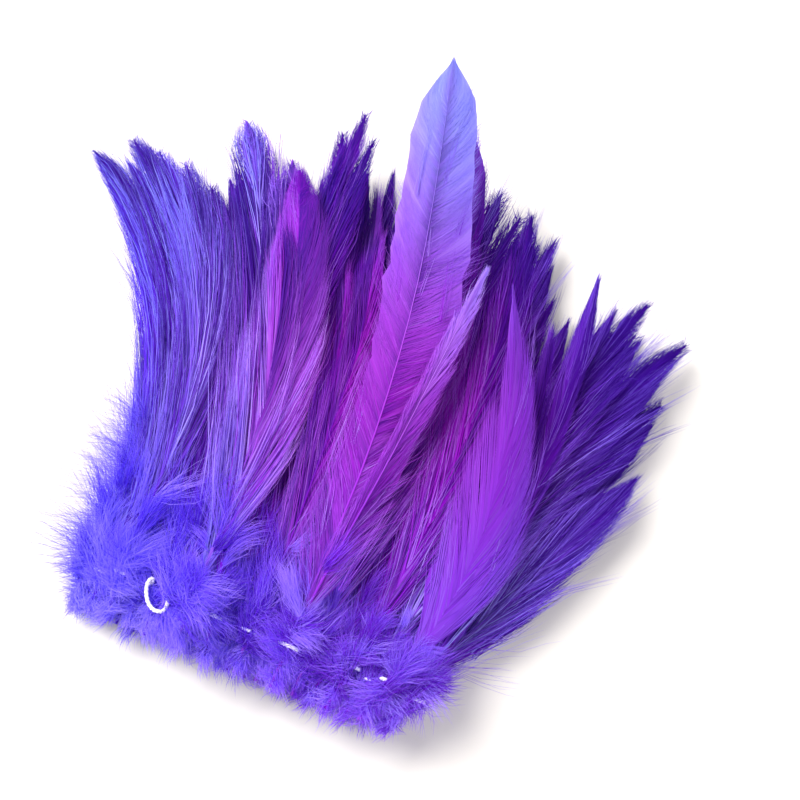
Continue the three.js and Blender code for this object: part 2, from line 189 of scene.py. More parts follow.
class FeatherLine:
    def __init__(self, sections):
        middle = sections[:, 1]
        steps = np.hypot(*np.diff(middle[:, :2], axis=0).T)
        stations = np.concatenate([[0], np.cumsum(steps)])
        stations = stations - (stations[BEFORE_STRING] + stations[BEFORE_STRING + 1]) / 2
        half = np.hypot(*(sections[:, 2, :2] - sections[:, 0, :2]).T) / 2
        rows = np.column_stack([
            middle[:, :2], middle[:, 2], middle[:, 3] - middle[:, 2], half,
            sections[:, 0, 2] - middle[:, 2], sections[:, 2, 2] - middle[:, 2],
        ])
        self.along = np.linspace(stations[0], stations[-1], SAMPLES)
        self.rows = smooth_rows(rows, stations, self.along)
        self.rows[:, HALF_WIDTH] = np.maximum(self.rows[:, HALF_WIDTH], 0)
        self.tangent = unit(np.gradient(self.rows[:, :3], self.along, axis=0))
        self.length = stations[-1]
        self.butt = stations[0]

    def look_up(self, values, distance):
        """Each column of values, read off at distances from the string."""
        flat = np.column_stack([np.interp(distance.ravel(), self.along, v) for v in values.T])
        return flat.reshape(*distance.shape, values.shape[1])

    def at(self, distance):
        """What the feather is like at distances from the string, in metres."""
        row = self.look_up(self.rows, distance)
        tangent = self.look_up(self.tangent, distance)
        side = unit(np.stack([tangent[..., 1], -tangent[..., 0], 0 * tangent[..., 0]], -1))
        return {"centre": row[..., :3], "thickness": row[..., 3], "half": row[..., HALF_WIDTH],
                "fall_left": row[..., 5], "fall_right": row[..., 6],
                "tangent": tangent, "side": side, "up": np.cross(side, tangent)}


lines = {name: FeatherLine(rows) for name, rows in sections.items()}
longest = max(lines, key=lambda name: lines[name].length)
print("longest:", longest, round(lines[longest].length / MM, 1), "mm above the string")

# %% [markdown]
# Everything soft on this object is a fibre. Tens of thousands of them are too many to model by
# hand, so each fibre is a narrow tapering ribbon, and numpy lays them all out at once in arrays.

# %% Ribbons from rows of points
def ribbons(points, facing, width, **factors):
    """Ribbons along rows of points. Factors are numbers for the material, one for each point."""
    rows, columns = points.shape[:2]
    # Two edge points stand for each point but the last, which closes the ribbon to a tip.
    direction = np.gradient(points, axis=1)
    across = np.cross(facing, direction)
    across *= (width / (np.linalg.norm(across, axis=-1) + 1e-12) / 2)[..., None]
    edges = np.stack([points - across, points + across], 2)[:, :-1]
    edges = edges.reshape(rows, 2 * (columns - 1), 3)
    vertices = np.concatenate([edges, points[:, -1:]], 1)
    first = np.arange(rows)[:, None] * (2 * columns - 1) + 2 * np.arange(columns - 2)
    quads = np.stack([first, first + 2, first + 3, first + 1], -1).reshape(-1, 4)
    last = np.arange(rows) * (2 * columns - 1) + 2 * (columns - 2)
    carried = {}
    for name, values in factors.items():
        values = np.broadcast_to(values, (rows, columns))
        doubled = np.repeat(values[:, :-1], 2, axis=1)
        carried[name] = np.concatenate([doubled, values[:, -1:]], 1).ravel()
    return {"vertices": vertices.reshape(-1, 3), "quads": quads,
            "triangles": np.stack([last, last + 2, last + 1], -1), **carried}


one = ribbons(np.linspace((0, 0, 0), (MM, 0, 0), 5)[None], np.array([0, 0, 1.0]), 0.1 * MM)
print("a ribbon of 5 points:", len(one["quads"]), "quads and", len(one["triangles"]), "triangle")

# %% [markdown]
# A vane is made of barbs, and tiny hooks hold neighbouring barbs together in locks a few
# millimetres wide. Barbs of one lock lie and take the dye alike, so the locks are cut first. They
# could be painted on a sheet, but then no edge would fray, and frayed edges make this a hackle.

# %% Locks, heights and shades on a vane
LOCK_MM = (1.0, 5.0)
EDGE_THICKNESS = 0.3 * MM
MIDRIB_WIDTH = 0.35  # how far out the darker band beside the quill reaches, as a share


def lock_numbers(root, rng):
    """Cuts the quill into locks: each barb's lock, that lock's middle, and how many there are."""
    edges = [root.min() - MM]
    while edges[-1] < root.max():
        edges.append(edges[-1] + rng.uniform(*LOCK_MM) * MM)
    edges = np.array(edges)
    lock = np.searchsorted(edges, root) - 1
    return lock, (edges[lock] + edges[lock + 1]) / 2, len(edges)


def top_of_vane(here, outward, side):
    fall = here["fall_right"] if side > 0 else here["fall_left"]
    return here["thickness"] * (1 - outward) + EDGE_THICKNESS * outward + fall * outward


def along_feather(values, share):
    """A style value may be one number, or several from the string to the tip."""
    values = np.atleast_1d(values)
    return np.interp(share, np.linspace(0, 1, len(values)), values)


def shade_at(style, side, share, outward):
    """Painted shade on this side of the vane, and a darker band beside its quill."""
    beside_quill = along_feather(style["midrib"], share) * np.clip(1 - outward / MIDRIB_WIDTH, 0, 1)
    return along_feather(style["shade"][side > 0], share) + beside_quill


sample = lock_numbers(np.linspace(0, 120 * MM, 500), np.random.default_rng(1))
print("locks along 120 mm of quill:", sample[2])

# %% [markdown]
# A barb leaves the quill at a narrow angle and sweeps towards the tip, almost along it. Where two
# locks part the vane splits. Near the string the hooks are missing, so the barbs hang loose and
# wave. The last ones run on past the end of the quill and make the tip a soft brush.

# %% Where the barbs run
BARB_STEPS = 4
BARBS_FROM, BARBS_TO = 0.04, 0.985  # shares of the way from the string to the tip
SHORTEST_BARB = 1.5 * MM
WAVE_MM = 0.8  # how far a loose barb swings to the side
FULL_TURN = 6.3  # radians


def barb_courses(line, side, style, rng):
    """The course of every barb on one side (-1 left, 1 right), and what its dye depends on."""
    count = style["barbs"]
    share = np.linspace(BARBS_FROM, BARBS_TO, count) + rng.normal(0, 0.002, count)
    root = share * line.length
    lock, middle, locks = lock_numbers(root, rng)

    def vary(by_lock, by_barb):
        return (rng.normal(0, by_lock, locks)[lock] + rng.normal(0, by_barb, count))[:, None]

    # How free each barb is: loose near the string, and a few stray ones anywhere.
    v = np.linspace(0, 1, BARB_STEPS + 1)[None, :]
    loose = np.clip((style["loose_to"] - share) / 0.3, 0, 1)[:, None]
    stray = (rng.random(count) < style["stray"])[:, None] * rng.uniform(0.3, 1.0, (count, 1))
    # How far it runs on towards the tip, and how far its lock draws it in.
    past = rng.uniform(-style["fringe"], style["past_tip"], (count, 1)) * MM
    sweep = along_feather(style["sweep"], share)[:, None] * MM
    sweep = sweep * (1 + vary(0.1, 0.1) + 0.3 * loose)
    sweep = np.maximum(np.minimum(sweep, (line.length - root)[:, None] + past), SHORTEST_BARB)
    gather = rng.uniform(*style["gather"], locks)[lock][:, None] * (middle - root)[:, None]
    s = root[:, None] + sweep * v + gather * v**1.4
    here = line.at(np.clip(s, line.butt, line.length))
    # How far out it reaches. At the tip that is uneven, so the vane ends in a brush.
    reach = rng.uniform(0.8, 1.05, (count, 1)) + vary(style["ragged"], 0)
    reach = reach + 0.12 * loose + 0.4 * stray
    at_tip = np.clip((s[:, -1:] - line.length) / (style["tip_zone"] * MM) + 1, 0, 1)
    outward = reach * (1 - at_tip * rng.random((count, 1))) * (1 - (1 - v) ** 1.2)
    tapered = np.clip((line.length + past - s) / (style["tip_zone"] * MM), style["blunt"], 1)
    half = np.hypot(here["half"], style["brush"] * MM * tapered)
    half *= along_feather(style["spread"][side > 0], share)[:, None]
    # A free barb waves from side to side, and one that passes the tip goes straight on.
    swing = v * rng.uniform(0.4, 1.2, (count, 1)) + rng.random((count, 1))
    wave = (loose + stray) * np.sin(FULL_TURN * swing)
    aside = side * (outward * half + wave * v * WAVE_MM * MM)
    points = here["centre"] + here["side"] * aside[..., None]
    points += here["tangent"] * np.maximum(s - line.length, 0)[..., None]
    return dict(points=points, here=here, v=v, outward=outward, share=share[:, None],
                root=root[:, None], lock=lock, locks=locks, loose=loose, free=loose + stray,
                vary=vary)


rooted = (BARBS_TO - BARBS_FROM) * lines[longest].length
print("barbs are rooted along", round(rooted / MM), "mm of the longest quill")

# %% [markdown]
# The eye reads a vane by its streaks: one barb in many stands up and catches the light, and here
# and there a lock lies in shade. Both come from real height and from painted light together,
# because a painted streak alone looks flat from the side. A bright barb gets a painted highlight
# in paler dye, and a dark lock painted shade in deeper dye.

# %% Height and dye of the barbs
BARB_GAP = 0.12  # mm between the web and the barbs on it
BRIGHT_BARBS, DARK_LOCKS = 0.06, 0.12  # shares of them in a closed vane
FLOOR_GAP = 0.15 * MM


def vane_side(line, side, style, rng):
    barbs = barb_courses(line, side, style, rng)
    points, here, v, outward, share, root, lock, locks, loose, free, vary = barbs.values()
    count = len(lock)
    rough = along_feather(style["streaks"], share) * style["rough"][side > 0]
    # Bright barbs stand up and dark locks sink, and there are more of both where it is loose.
    bright = rng.random((count, 1)) < BRIGHT_BARBS + 0.16 * loose
    bright = bright * rng.uniform(0.2, 0.9, (count, 1)) * rough
    dark = (rng.random(locks)[lock][:, None] < DARK_LOCKS + 0.2 * loose) * rough
    lift = rough * vary(0.4, 0.1) * v + free * rng.uniform(0, 2.0, (count, 1)) * v
    lift = np.maximum(lift, -0.15) + 0.5 * bright * v - 0.2 * dark
    points[..., 2] += top_of_vane(here, np.minimum(outward, 1.1), side) + (BARB_GAP + lift) * MM
    points[..., 2] = np.maximum(points[..., 2], FLOOR_GAP)
    # Each barb is rolled a little, so that its gloss isn't its neighbour's.
    roll = (side * (0.05 + 0.3 * v) + vary(0.2, 0.08) * rough)[..., None]
    facing = here["up"] * np.cos(roll) + here["side"] * np.sin(roll)
    # It thins to its end, where the dye is paler than at the quill. Its deep dye also takes
    # painted shade from its side and from a dark lock, and a bright barb gets a painted highlight
    # in its pale dye.
    level = share + 0 * v
    width = along_feather(style["width"], level) * MM * (1 - 0.75 * v**1.3) * (1 + 0.4 * bright)
    deep = along_feather(style["deep"], level) + shade_at(style, side, level, outward)
    deep = np.clip(deep + rough * vary(0.2, 0.1) + 0.15 * (1 - v) ** 2 + 0.4 * dark, 0, 1)
    pale = along_feather(style["pale"], level) + rough * vary(0.08, 0.03)
    pale = pale + 0.1 * v**2 + 0.7 * bright
    return ribbons(
        points, facing, width, deep=deep, pale=np.clip(pale * (1 - 0.8 * deep), 0, 1),
        rose=along_feather(style["rose"], level), root=root / MM, outward=v)


print("barbs that catch the light:", BRIGHT_BARBS, "locks in shade:", DARK_LOCKS)

# %% [markdown]
# Under its barbs a vane is closed: hooked barbs overlap into a web. A thin sheet from the quill
# out to where the barbs come free gives that web, so no light shows through in the middle of it.

# %% Web of one side of a vane
WEB_ROWS, WEB_COLUMNS = 32, 3
WEB_FROM, WEB_LENGTH = 0.07, 0.925  # shares of the way from the string to the tip
WEB_GAP, SHEET_FLOOR_GAP = 0.12 * MM, 0.1 * MM
RAGGED_STEPS = 90
NO_TRIANGLES = np.zeros((0, 3), int)


def flat_grid(x_segments, y_segments):
    """A grid's corners, as places from 0 to 1 both ways, and its faces."""
    sheet = bmesh.new()
    bmesh.ops.create_grid(sheet, x_segments=x_segments, y_segments=y_segments, size=0.5)
    places = np.array([vert.co[:] for vert in sheet.verts]) + 0.5
    faces = np.array([[vert.index for vert in face.verts] for face in sheet.faces])
    sheet.free()
    return places, faces


def web_side(line, side, style, rng):
    places, faces = flat_grid(WEB_ROWS, WEB_COLUMNS)
    # The edge is ragged, and the web closes slowly above the string.
    share = WEB_FROM + WEB_LENGTH * places[:, 0]
    ragged = rng.normal(0, style["ragged"] * 0.8, RAGGED_STEPS)
    ragged = np.interp(share, np.linspace(0, 1, RAGGED_STEPS), ragged)
    closed = np.clip((share - WEB_FROM) / 0.22, 0, 1) ** 0.8
    outward = places[:, 1] * np.clip(along_feather(style["web"], share) + ragged, 0, 1) * closed
    here = line.at(share * line.length)
    spread = along_feather(style["spread"][side > 0], share)
    points = here["centre"] + here["side"] * (side * outward * here["half"] * spread)[:, None]
    points[:, 2] += top_of_vane(here, outward, side) - WEB_GAP
    points[:, 2] = np.maximum(points[:, 2], SHEET_FLOOR_GAP)
    # A barb that lies over this point was rooted further back, and carries its streaks from there.
    back = along_feather(style["sweep"], share) * (1 - (1 - np.minimum(outward, 0.99)) ** 0.83)
    # The side's painted shade darkens the web as well.
    deep = along_feather(style["deep"], share) + shade_at(style, side, share, outward)
    deep = np.clip(deep, 0, 0.88)
    return {"vertices": points, "quads": faces[:, ::-1] if side > 0 else faces,
            "triangles": NO_TRIANGLES, "deep": deep + 0.12,
            "pale": along_feather(style["pale"], share) * (1 - 0.8 * deep),
            "rose": along_feather(style["rose"], share),
            "root": share * line.length / MM - back, "outward": outward}


print("faces in a web:", len(flat_grid(WEB_ROWS, WEB_COLUMNS)[1]))

# %% [markdown]
# The thread is white cotton, twisted from three plies. It stitches through the bunch and comes
# back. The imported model's thread is a plain six-sided tube. Its line is found again by walking
# from the ring of corners at one end to the next ring, and so on.

# %% Read the thread's line
RING_REACH = 1.5 * MM  # more than the thread's thickness, less than a stitch


def read_thread(node):
    """The middle of each ring of corners, from the left end along the thread."""
    mesh = bmesh.new()
    mesh.from_mesh(node.data)
    bmesh.ops.remove_doubles(mesh, verts=mesh.verts[:], dist=1e-6)
    end = min(mesh.verts, key=lambda vert: vert.co.x)
    cap = min(end.link_faces, key=lambda face: face.normal.x)
    ring = {vert for face in mesh.faces if face.normal.dot(cap.normal) > 0.999
            and (face.calc_center_median() - end.co).length < RING_REACH for vert in face.verts}
    centres, seen = [], set()
    while ring:
        centres.append(np.mean([vert.co[:] for vert in ring], axis=0))
        seen |= ring
        ring = {edge.other_vert(vert) for vert in ring for edge in vert.link_edges} - seen
    mesh.free()
    return np.array(centres)


thread_path = read_thread(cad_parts["sewing_thread"])
walked = np.linalg.norm(np.diff(thread_path, axis=0), axis=1)
walked = np.concatenate([[0], np.cumsum(walked)])
print("rings on the thread:", len(thread_path), "length:", round(walked[-1] / MM), "mm")

# %% [markdown]
# One stitch near the left end was left slack and stands up out of the down as a white hook. It is
# the only place where the thread leaves the line of the string sideways, so it is found by
# measuring that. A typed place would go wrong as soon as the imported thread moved.

# %% Find the slack stitch
BESIDE_STRING = 1.5 * MM
string_start, string_end = thread_path[0], thread_path[np.argmax(thread_path[:, 0])]
string_heading = unit((string_end - string_start)[:2])
string_left = np.array([-string_heading[1], string_heading[0]])
off_string = (thread_path - string_start)[:, :2] @ string_left
beside = np.abs(off_string - np.median(off_string)) > BESIDE_STRING
loop_centre = thread_path[beside].mean(axis=0)
print("slack stitch at", np.round(loop_centre / MM, 1), "mm")

# %% [markdown]
# The down would hide the stitches that show, so no fibre may cross a few places above the string.
# The slack stitch also pushes up the down on its right. Both are plain tests of distance, which
# is quicker than moving fibres with a modifier afterwards.

# %% Places that stitches clear
BARE_PLACES = [  # centre and reach, seen from above
    (loop_centre[:2] + np.array([-1.5, -0.5]) * MM, np.array([2.6, 6.8]) * MM),
    (string_start[:2] + string_heading * 84.0 * MM, np.array([4.4, 2.0]) * MM),
]
BARE_ABOVE = 17 * MM
PUSHED_UP_PLACE = loop_centre[:2] + np.array([4.6, 0.4]) * MM
PUSHED_UP, PUSHED_UP_REACH = 3.8 * MM, 4 * MM


def clear_of_stitches(points):
    clear = np.ones(len(points), bool)
    for place, reach in BARE_PLACES:
        inside = np.linalg.norm((points[..., :2] - place) / reach, axis=-1) < 1
        clear &= ~(inside & (points[..., 2] > BARE_ABOVE)).any(axis=1)
    return clear


def pushed_up(start):
    off_loop = np.linalg.norm(start[:, :2] - PUSHED_UP_PLACE, axis=1)
    return PUSHED_UP * np.exp(-(off_loop / PUSHED_UP_REACH) ** 2)


print("bare places at", [list(np.round(place / MM, 1)) for place, _ in BARE_PLACES], "mm")

# %% [markdown]
# Down grows where a feather was warm against the skin. Its fibres have no hooks at all, so every
# one goes its own way: it starts out along the feather or across it, bends, sags and waves a bit.
# A fibre is grown here like a plant, from its root, a short step at a time.

# %% Grow free fibres
def grow(root, heading, rise, length, turn, sag, wave, steps, rng):
    """Rows of points, a step at a time. Heading and rise are angles, in plan and above level."""
    count = len(root)
    v = (np.arange(steps)[None, :] + 0.5) / steps
    swing = v * rng.uniform(0.6, 1.8, (count, 1)) + rng.random((count, 1))
    plan = heading[:, None] + turn[:, None] * v + wave[:, None] * np.sin(FULL_TURN * swing)
    climb = rise[:, None] - sag[:, None] * v
    level = np.cos(climb)
    moves = np.stack([np.cos(plan) * level, np.sin(plan) * level, np.sin(climb)], -1)
    moves *= (length / steps)[:, None, None]
    points = np.concatenate([root[:, None], root[:, None] + np.cumsum(moves, 1)], 1)
    points[..., 2] = np.maximum(points[..., 2], FLOOR_GAP)
    return points


one_each = [np.array([value]) for value in (0.0, 0.6, 12 * MM, 0.5, 0.6, 0.25)]
fibre = grow(np.zeros((1, 3)), *one_each, 3, np.random.default_rng(1))
print("a 12 mm fibre ends at", np.round(fibre[0, -1] / MM, 1), "mm")

# %% [markdown]
# Down is dense and crimped above the string and short below it, a loose haze stands round the
# outer feathers, and single barbs work free of a vane as wisps. All are brushes of fibres that
# leave one spot, so one recipe serves for them, and a kind says only where it differs.

# %% Kinds of tuft
DOWN_KIND = dict(
    fibres=56, steps=3, aside=0.0, scatter=0.4, raised=0.0, spread=0.5, fan=0.3, rise=(0.0, 0.6),
    sag=0.6, turn=0.5, wave=0.25, length=(9, 20), width=0.13, deep=0.12, pale=0.2, left_pale=0.1,
    follow=0)
HAIR_KIND = {**DOWN_KIND, "steps": 4, "wave": 0.1}
TUFT_KINDS = {
    "above": DOWN_KIND,
    "below": {**DOWN_KIND, "fibres": 28, "scatter": 0.9, "spread": 0.8, "length": (2.0, 6),
              "rise": (-0.1, 0.8), "deep": 0.08, "pale": 0.35, "left_pale": 0.5},
    "over": {**DOWN_KIND, "fibres": 40, "scatter": 1.1, "raised": 1.1, "spread": 1.0,
             "length": (5, 12), "rise": (0.1, 0.7)},
    "haze": {**HAIR_KIND, "fibres": 14, "spread": 0.5, "fan": 0.5, "length": (6, 27),
             "width": 0.08, "pale": 0.2, "deep": 0.3},
    "pale tuft": {**DOWN_KIND, "fibres": 80, "raised": 1.4, "spread": 0.07, "fan": 0.09,
                  "length": (12, 18), "rise": (0.35, 0.45), "sag": 0.5, "turn": 0.08,
                  "deep": 0.0, "pale": 1.0},
    "wisp": {**HAIR_KIND, "fibres": 9, "aside": 0.9, "spread": 0.1, "fan": 0.05,
             "rise": (0.0, 0.06), "sag": 0.08, "turn": 0.12, "wave": 0.05, "length": (14, 34),
             "width": 0.1, "deep": 0.05, "pale": 0.35, "follow": 1},
}
print("kinds of tuft:", ", ".join(TUFT_KINDS))

# %% [markdown]
# A tuft is planned first as a whole: its spot, heading, bend and dye. Its fibres then start round
# that spot and fan out. Down is paler on the left of the bunch, as dye and as painted highlight,
# and no two tufts took the dye alike.

# %% Plan the tufts
TUFT_CONTRAST = 0.32


def plan_tufts(line, kind, number, place, rng, backward, lean, size, own_dye):
    """Start, heading, turn, rise, length, depth of dye and the vane's own dye of each tuft."""
    spot = rng.uniform(*place, number)
    here = line.at(spot)
    aside = rng.uniform(-1, 1, number) * kind["aside"]
    length = rng.uniform(*kind["length"], number) * MM * size
    length = np.minimum(length, line.length - spot + 2 * MM)
    # A tuft that follows the feather bends as much as the feather does over its own length.
    there = line.at(np.minimum(spot + length, line.length))
    ahead, later = (np.arctan2(h["tangent"][:, 1], h["tangent"][:, 0]) for h in (here, there))
    heading = ahead + np.pi * backward + lean + rng.normal(0, kind["spread"], number) - 0.12 * aside
    bend = (later - ahead + np.pi) % (2 * np.pi) - np.pi
    turn = kind["follow"] * bend + rng.normal(0, kind["turn"], number)
    rise = rng.uniform(*kind["rise"], number) + kind["follow"] * np.arcsin(here["tangent"][:, 2])
    depth = rng.normal(0, TUFT_CONTRAST, number)
    dyed = kind["follow"] * along_feather(own_dye, spot / line.length)
    start = here["centre"] + here["up"] * (here["thickness"] * (0.9 - 0.6 * np.abs(aside)))[:, None]
    start[:, 2] += kind["raised"] * (MM + pushed_up(start))
    start += here["side"] * (aside * here["half"])[:, None]
    return start, heading, turn, rise, length, depth, dyed


in_hand = (lines[longest], DOWN_KIND, 3, (5 * MM, 20 * MM), np.random.default_rng(1))
print("three tufts start at", np.round(plan_tufts(*in_hand, False, 0, 1, 0)[0] / MM), "mm")

# %% Tufts of down and wisps of barbs
PALER_LEFT_OF, PALEST_AFTER = -15 * MM, 50 * MM


def tufts(line, kind, number, place, rng, backward=False, lean=0.0, size=1.0, own_dye=0.0):
    """Each tuft is a small brush of fibres that leave one spot on the quill or the vane."""
    planned = plan_tufts(line, kind, number, place, rng, backward, lean, size, own_dye)
    owner = np.repeat(np.arange(number), kind["fibres"])
    start, heading, turn, rise, length, depth, dyed = (values[owner] for values in planned)
    count = len(owner)
    # Fibres fan out and then turn back, so that the tuft stays together like a brush.
    fan = rng.normal(0, kind["fan"], count)
    start = start + rng.normal(0, kind["scatter"] * MM, (count, 3)) * (1, 1, 0.4)
    points = grow(
        start, heading + fan, rise + rng.normal(0, 0.25 * kind["sag"] + 0.01, count),
        length * rng.uniform(0.7, 1.15, count), turn - 0.9 * fan,
        kind["sag"] * rng.uniform(0.5, 1.5, count), rng.normal(0, kind["wave"], count),
        kind["steps"], rng)
    clear = clear_of_stitches(points)
    points, depth, dyed = points[clear], depth[clear][:, None], dyed[clear][:, None]
    count = len(points)
    v = np.linspace(0, 1, kind["steps"] + 1)[None, :]
    # Deep and pale draw apart from tuft to tuft, and every fibre pales to its end.
    # Towards the left the down is paler, as dye and as painted highlight.
    leftmost = np.clip((PALER_LEFT_OF - points[:, :1, 0]) / PALEST_AFTER, 0, 1)
    facing = np.array([0, 0, 1]) + rng.normal(0, 0.3, (count, 1, 3))
    deep = kind["deep"] + 0.8 * dyed + depth - 0.1 * leftmost - 0.3 * v
    pale = kind["pale"] + kind["left_pale"] * leftmost + 0.3 * v
    pale = (pale + rng.normal(0, 0.14, (count, 1)) - depth) * (1 - 0.75 * dyed)
    return ribbons(
        points, facing, kind["width"] * MM * (1 - 0.6 * v) * np.ones((count, 1)),
        deep=np.clip(deep, 0, 1), pale=np.clip(pale, 0, 1), rose=0.0,
        root=rng.uniform(0, 90, (count, 1)), outward=v)


print("fibres in them:", len(tufts(*in_hand)["triangles"]))

# %% [markdown]
# The quill is a tapered rod that runs almost to the tip. A flat grid is rolled up into a tube, and
# the tube is laid along the feather's line.

# %% Quill
QUILL_SIDES, QUILL_RINGS = 5, 16
QUILL_END = 0.97  # share of the feather's length, where the quill is as thin as a barb
QUILL_TAPER_MM, QUILL_TIP_MM = 0.4, 0.05


def rolled_sheet(sides, rings):
    """A grid rolled into a tube: each corner's angle, its place along it (0 to 1), the faces."""
    places, faces = flat_grid(sides, rings - 1)
    return places[:, 0] * 2 * np.pi, places[:, 1], faces[:, ::-1]


def quill_rod(line, style):
    angle, share, faces = rolled_sheet(QUILL_SIDES, QUILL_RINGS)
    here = line.at(line.butt + (QUILL_END * line.length - line.butt) * share)
    radius = ((QUILL_TAPER_MM * (1 - share) ** 1.6 + QUILL_TIP_MM) * MM)[:, None]
    raised = (here["thickness"] * 0.85 + style["quill_rise"] * MM)[:, None]
    points = here["centre"] + here["up"] * raised
    points += (here["side"] * np.cos(angle)[:, None] + here["up"] * np.sin(angle)[:, None]) * radius
    points[:, 2] = np.maximum(points[:, 2], SHEET_FLOOR_GAP)
    return {"vertices": points, "quads": faces, "triangles": NO_TRIANGLES,
            "deep": np.clip(along_feather(style["deep"], share) + 0.25, 0, 1),
            "pale": along_feather(style["pale"], share) * 0.6,
            "rose": along_feather(style["rose"], share), "root": 0.0, "outward": 0.0}


print("faces in a quill:", len(rolled_sheet(QUILL_SIDES, QUILL_RINGS)[2]))

# %% [markdown]
# Dyed feather is keratin: thin, slightly glossy and a little see-through. Dye takes unevenly, so
# the violet runs bluer at the left, towards magenta in the middle and deeper at the right. Each
# colour is a ramp from left to right, given as places in millimetres with the dye seen there.

# %% Colours across the bunch
VANE_DYE_STOPS = [
    (-92, "#4e34f6"), (-66, "#6428ee"), (-40, "#8820e6"), (-12, "#981ce2"), (20, "#801cd8"),
    (50, "#6216c4"), (90, "#561cc0"),
]
DOWN_DYE_STOPS = [
    (-92, "#4a38fa"), (-50, "#5a32f6"), (-30, "#6e2cf0"), (-8, "#8424e8"), (20, "#7a20dc"),
    (50, "#5a1ecc"), (90, "#561cc0"),
]
PALE_VANE_STOPS = [
    (-92, "#8490f0"), (-34, "#8c86f2"), (-26, "#aa80f4"), (4, "#a486f0"), (16, "#8a90e4"),
    (28, "#8c8ae6"), (45, "#8c74fa"), (90, "#8672f4"),
]
PALE_DOWN_STOPS = [(-92, "#9894ff"), (-62, "#9e8aff"), (-25, "#aa88ff"), (90, "#a082fe")]
ROSE_DYE = "#b400c4"
# The deep dye also paints shade, and the pale stops also paint highlights.
DEEP_DYE_AND_SHADE, DEEP_DYE_AND_SHADE_IN_MIDDLE = "#3a0c92", "#64049c"
ROSIEST_PLACE = (5 * MM, -3 * MM, 8 * MM)
print("dyes across the vanes:", len(VANE_DYE_STOPS), "and across the down:", len(DOWN_DYE_STOPS))

# %% Mix colours by place
def blend(tree, colour, other, factor):
    """Both colours may be a hex value or the output of another node."""
    mix = add_node(tree, "ShaderNodeMix", {"data_type": "RGBA"}, links={0: factor})
    for socket, value in ((6, colour), (7, other)):
        if isinstance(value, str):
            mix.inputs[socket].default_value = linear(value)
        else:
            tree.links.new(value, mix.inputs[socket])
    return mix.outputs[2]


def near_middle(tree, coordinates, reach, most):
    """A factor that falls from its greatest value at the rosiest place to nothing at a distance."""
    away = add_node(tree, "ShaderNodeVectorMath", {"operation": "DISTANCE"},
                    {1: ROSIEST_PLACE}, {0: coordinates.outputs["Object"]})
    return add_node(tree, "ShaderNodeMapRange", {"interpolation_type": "SMOOTHSTEP"},
                    {"From Min": reach * MM, "From Max": 4 * MM, "To Min": 0.0, "To Max": most},
                    {"Value": away.outputs["Value"]}).outputs["Result"]


def across_the_bunch(tree, coordinates, stops):
    """A colour that changes from left to right; each stop is a place in mm and a hex value."""
    split = add_node(tree, "ShaderNodeSeparateXYZ", links={"Vector": coordinates.outputs["Object"]})
    low, high = stops[0][0] * MM, stops[-1][0] * MM
    place = add_node(tree, "ShaderNodeMapRange", inputs={"From Min": low, "From Max": high},
                     links={"Value": split.outputs["X"]})
    ramp = add_node(tree, "ShaderNodeValToRGB", links={"Fac": place.outputs["Result"]})
    for i, (x, hex_code) in enumerate(stops):
        position = (x * MM - low) / (high - low)
        elements = ramp.color_ramp.elements
        stop = elements[i] if i < 2 else elements.new(position)
        stop.position = position
        stop.color = linear(hex_code)
    return ramp.outputs["Color"]


print("rosiest place, in mm:", [round(c / MM) for c in ROSIEST_PLACE])

# %% [markdown]
# Every fibre brings five numbers of its own: how deep, how pale and how rosy its dye is, where on
# the quill it is rooted in millimetres, and how far out a point lies. The material mixes its dyes
# by the first three, and draws streaks that run along the barbs by the last two. Deep and pale
# also carry painted shade and painted highlight.

# %% Streaks along the barbs
FACTORS = ("deep", "pale", "rose", "root", "outward")
STREAKS_PER_MM = 0.6  # a streak for each 1.7 mm of quill, about half a lock of barbs


def streaked_depth(tree, factor):
    """The fibre's depth of dye and painted shade, with streaks of more and less along its barbs."""
    place = add_node(tree, "ShaderNodeCombineXYZ",
                     links={"X": factor["root"], "Y": factor["outward"]})
    streak = add_node(tree, "ShaderNodeTexNoise", {"noise_dimensions": "2D"},
                      {"Scale": STREAKS_PER_MM, "Detail": 3.0, "Roughness": 0.6},
                      {"Vector": place.outputs["Vector"]})
    more = add_node(tree, "ShaderNodeMapRange",
                    inputs={"From Min": 0.35, "From Max": 0.75, "To Min": -0.15, "To Max": 0.3},
                    links={"Value": streak.outputs["Fac"]})
    return add_node(tree, "ShaderNodeMath", {"operation": "ADD", "use_clamp": True},
                    links={0: factor["deep"], 1: more.outputs["Result"]}).outputs["Value"]


print("one streak to", round(1 / STREAKS_PER_MM, 1), "mm of quill")

# %% Feather materials
DARK_REACH, PALE_REACH, ROSE_REACH = 65, 78, 60  # mm from the rosiest place
MOST_ROSE = 0.74


